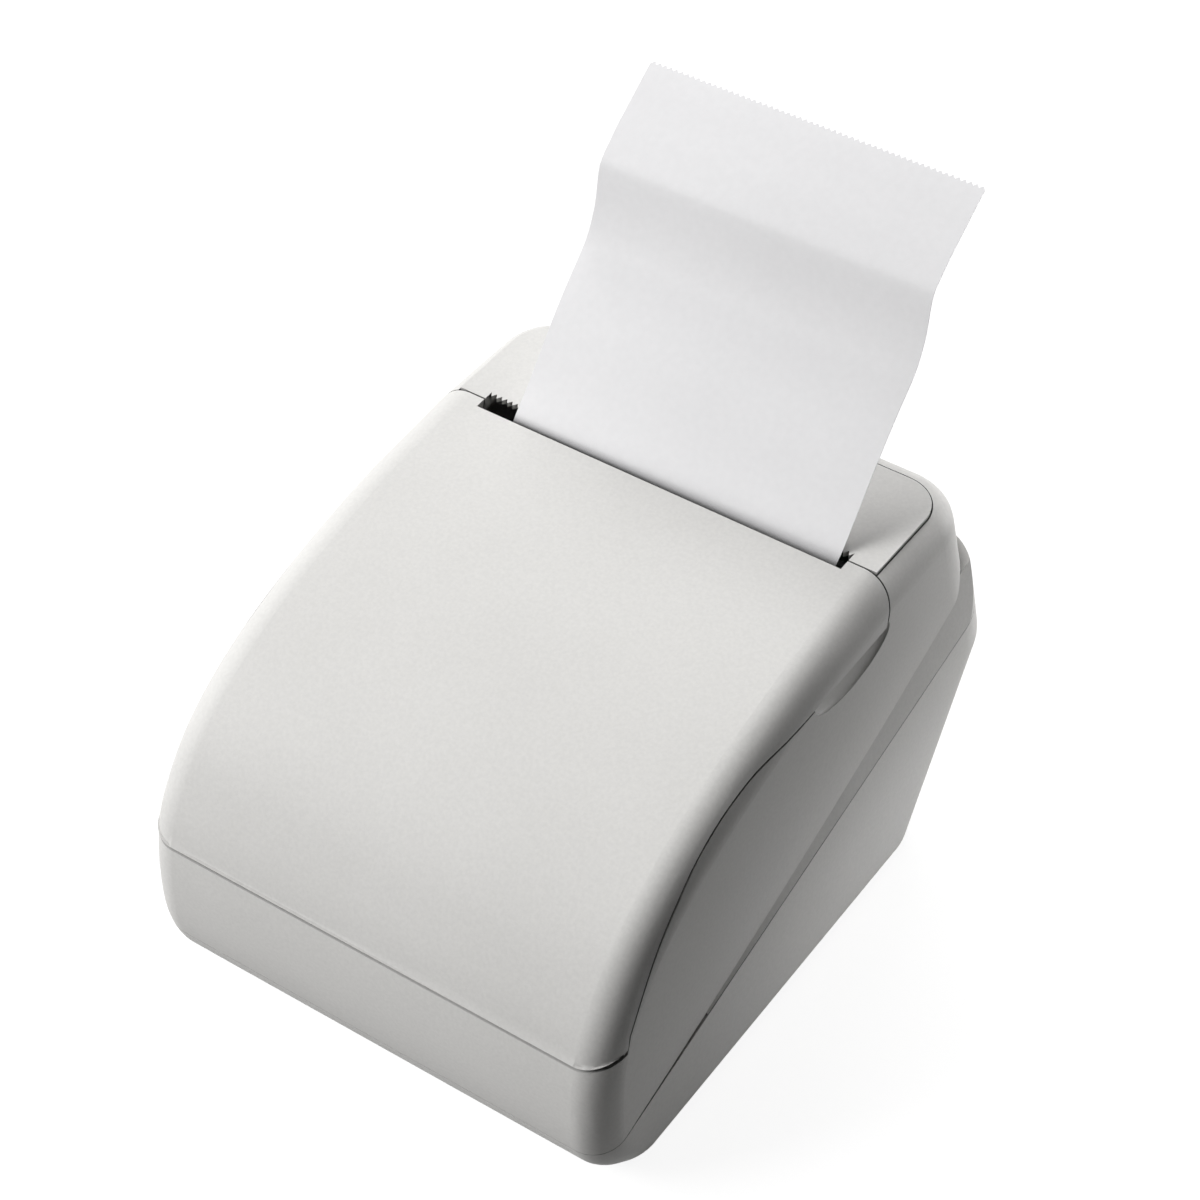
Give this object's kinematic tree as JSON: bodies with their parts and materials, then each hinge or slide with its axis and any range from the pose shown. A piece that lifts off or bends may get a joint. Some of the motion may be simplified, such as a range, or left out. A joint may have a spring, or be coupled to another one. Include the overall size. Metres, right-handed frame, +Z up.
{
  "type": "portable thermal printer",
  "caption": "Pocket thermal printer: sloping rounded casing, hinged front cover with platen, paper roll bay, print head and gear train, paper standing out of the top slot.",
  "frame": {"origin": "on the table, below the middle of the whole part's depth and width", "axes": "+Z up from the table, -Y towards the front cover, +X to the right seen from the front"},
  "size_m": [0.0836, 0.112, 0.109],
  "materials": {
    "casing": "fine matte, warm light grey",
    "button": "fine matte",
    "inner_plastic": "satin black",
    "bay_plastic": "matte grey",
    "bush": "natural acetal",
    "gear_plastic": "natural acetal",
    "rubber_black": "ground silicone",
    "rubber_grey": "soft matte",
    "steel": "bright",
    "motor_steel": "zinc plated",
    "spring_steel": "polished",
    "brass": "machined",
    "aluminium": "extruded",
    "ceramic_strip": "glazed",
    "black_plastic": "moulded",
    "paper": "coated thermal paper",
    "card": "wound card",
    "board_green": "solder mask",
    "cell_film": "shrink film"
  },
  "bodies": {
    "base": {"base_shell": "casing", "battery_cell": "cell_film", "capacitor": "aluminium", "casing_screw_1": "steel", "casing_screw_2": "steel", "casing_screw_3": "steel", "casing_screw_4": "steel", "control_chip": "black_plastic", "head_rod": "steel", "head_spring": "spring_steel", "hinge_pin_left": "steel", "hinge_pin_right": "steel", "idler_pin": "steel", "main_board": "board_green", "mechanism_chassis": "inner_plastic", "paper_bay": "bay_plastic", "paper_sensor": "black_plastic", "paper_strip": "paper", "power_inlet": "steel", "power_switch": "black_plastic", "rubber_foot_1": "rubber_grey", "rubber_foot_2": "rubber_grey", "rubber_foot_3": "rubber_grey", "rubber_foot_4": "rubber_grey", "stepper_motor": "motor_steel", "switch_board": "board_green", "top_panel": "casing", "upper_shell": "casing"},
    "cover": {"front_cover": "casing", "platen_carrier": "inner_plastic", "platen_bush_right": "bush", "platen_bush_left": "bush"},
    "platen": {"platen_rubber": "rubber_black", "platen_shaft": "steel", "platen_gear": "gear_plastic"},
    "idler": {"idler_gear": "gear_plastic"},
    "pinion": {"motor_pinion": "brass"},
    "roll": {"paper_roll": "paper", "roll_core": "card"},
    "head": {"print_head": "ceramic_strip", "heat_sink": "aluminium"},
    "button": {"power_button": "button"}
  },
  "joints": [
    {"name": "cover_hinge", "type": "hinge", "parent": "base", "child": "cover", "pos_m": [0, -0.0492, 0.016], "axis": [1, 0, 0], "range_deg": [0, 90]},
    {"name": "platen_spin", "type": "hinge", "parent": "cover", "child": "platen", "pos_m": [0, 0.012, 0.0555], "axis": [1, 0, 0], "continuous": true},
    {"name": "idler_spin", "type": "hinge", "parent": "base", "child": "idler", "pos_m": [0, 0.01878, 0.045], "axis": [1, 0, 0], "continuous": true},
    {"name": "pinion_spin", "type": "hinge", "parent": "base", "child": "pinion", "pos_m": [0, 0.02428, 0.03547], "axis": [1, 0, 0], "continuous": true},
    {"name": "roll_spin", "type": "hinge", "parent": "base", "child": "roll", "pos_m": [0, -0.0145, 0.0329], "axis": [1, 0, 0], "continuous": true},
    {"name": "head_swing", "type": "hinge", "parent": "base", "child": "head", "pos_m": [0, 0.01499, 0.04324], "axis": [-1, 0, 0], "range_deg": [0, 3], "stiffness_Nm_per_rad": 0.8, "deforming": ["head_spring"]},
    {"name": "button_press", "type": "slide", "parent": "base", "child": "button", "axis": [0, -0.9512, -0.3084], "range_m": [0, 0.0008], "stiffness_N_per_m": 1500}
  ],
  "couplings": [
    {"joint": "platen_spin", "follows": "roll_spin", "ratio": -4.75},
    {"joint": "idler_spin", "follows": "roll_spin", "ratio": 3.1667},
    {"joint": "pinion_spin", "follows": "roll_spin", "ratio": -6.7857}
  ]
}
